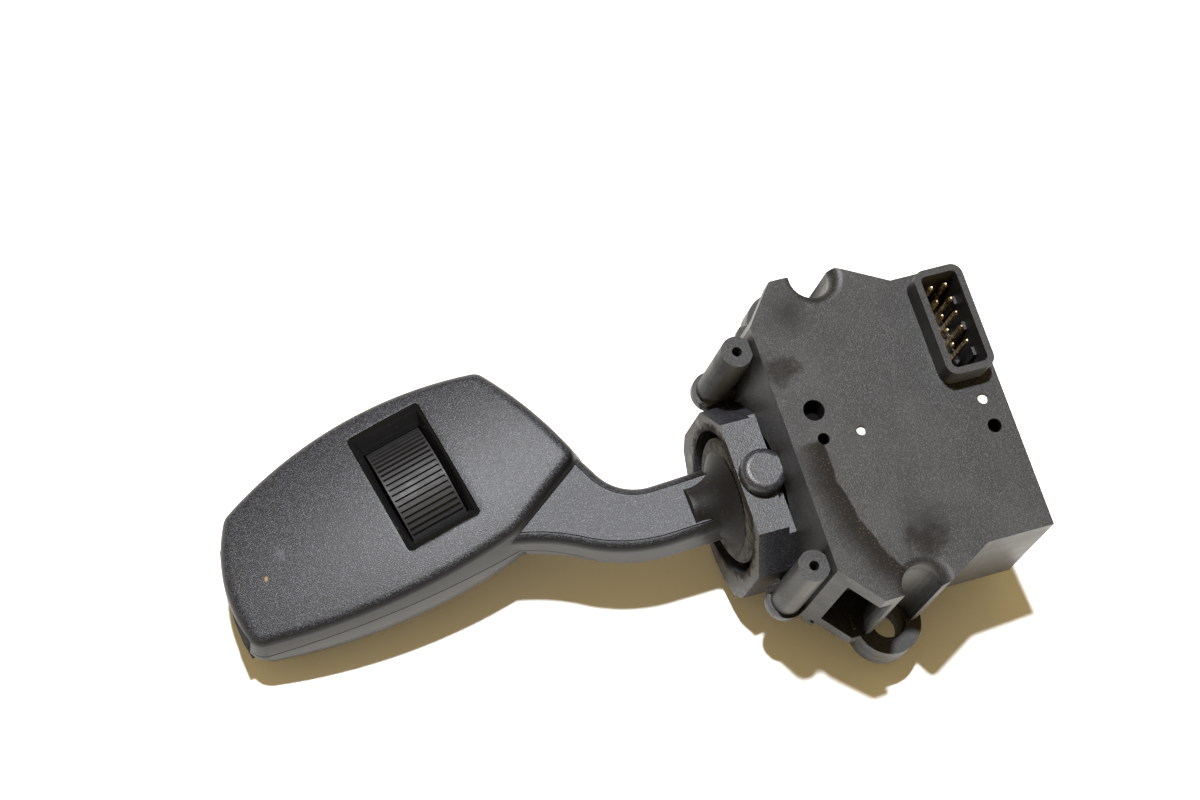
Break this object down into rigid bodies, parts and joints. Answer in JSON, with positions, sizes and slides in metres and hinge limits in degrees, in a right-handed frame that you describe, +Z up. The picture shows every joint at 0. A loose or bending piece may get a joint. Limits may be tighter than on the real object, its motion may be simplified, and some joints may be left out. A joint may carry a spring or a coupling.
{
  "type": "stalk switch",
  "caption": "Steering column stalk switch: boxed housing with pin connector and screw lugs, cranked lever on a gimbal, and a flat paddle with a ribbed thumb wheel and an end button.",
  "frame": {"origin": "midway between the two lug screw holes, on the underside of the lugs", "axes": "+Z up through the lugs to the connector face, +X from the lever to the connector end, Y from lug to lug"},
  "size_m": [0.1243, 0.0676, 0.0563],
  "materials": {
    "housing_plastic": "satin glass-filled moulding",
    "collar_plastic": "satin moulding",
    "paddle_plastic": "fine spark-eroded grain",
    "inlay_plastic": "coarse grain",
    "trim_black": "smooth black",
    "boot_rubber": "dusty",
    "carrier_plastic": "natural",
    "acetal_white": "natural",
    "steel": "bright",
    "contact_brass": "plated",
    "board_laminate": "solder mask",
    "chip_epoxy": "moulded",
    "magnet_ferrite": "sintered",
    "lead_film": "polyimide film"
  },
  "bodies": {
    "housing": {"housing_shell": "housing_plastic", "housing_cap": "housing_plastic", "base_cover": "housing_plastic", "cover_screws": "steel", "circuit_board": "board_laminate", "hall_sensors": "chip_epoxy", "controller_chip": "chip_epoxy", "connector_pins": "contact_brass", "inner_carrier": "carrier_plastic", "bearing_collar": "collar_plastic", "detent_track": "acetal_white"},
    "gimbal": {"gimbal_ring": "acetal_white"},
    "lever": {"lever_root": "collar_plastic", "cross_axle": "steel", "lever_magnet": "magnet_ferrite", "detent_plunger": "acetal_white", "detent_spring": "steel", "lever_shell": "paddle_plastic", "neck_inlay": "inlay_plastic", "lead_ribbon": "lead_film", "dust_boot": "boot_rubber", "paddle_lower_shell": "paddle_plastic", "wheel_bezel": "trim_black", "wheel_pin": "steel", "paddle_board": "board_laminate", "wheel_encoder": "chip_epoxy", "button_switch": "chip_epoxy"},
    "wheel": {"thumb_wheel": "trim_black"},
    "button": {"end_button": "trim_black"}
  },
  "joints": [
    {"name": "lever_swing", "type": "hinge", "parent": "housing", "child": "gimbal", "pos_m": [-0.0156, 0, 0.0043], "axis": [0, 0, 1], "range_deg": [-8, 8], "stiffness_Nm_per_rad": 2},
    {"name": "lever_tilt", "type": "hinge", "parent": "gimbal", "child": "lever", "pos_m": [-0.0156, 0, 0.0043], "axis": [0, 1, 0], "range_deg": [-5, 5], "stiffness_Nm_per_rad": 4},
    {"name": "wheel_turn", "type": "hinge", "parent": "lever", "child": "wheel", "pos_m": [-0.06319, 0.01812, -0.01373], "axis": [0.9497, 0.188, 0.2504], "range_deg": [-20, 20]},
    {"name": "button_press", "type": "slide", "parent": "lever", "child": "button", "axis": [0.9497, 0.188, 0.2504], "range_m": [0, 0.0012], "stiffness_N_per_m": 1500}
  ]
}
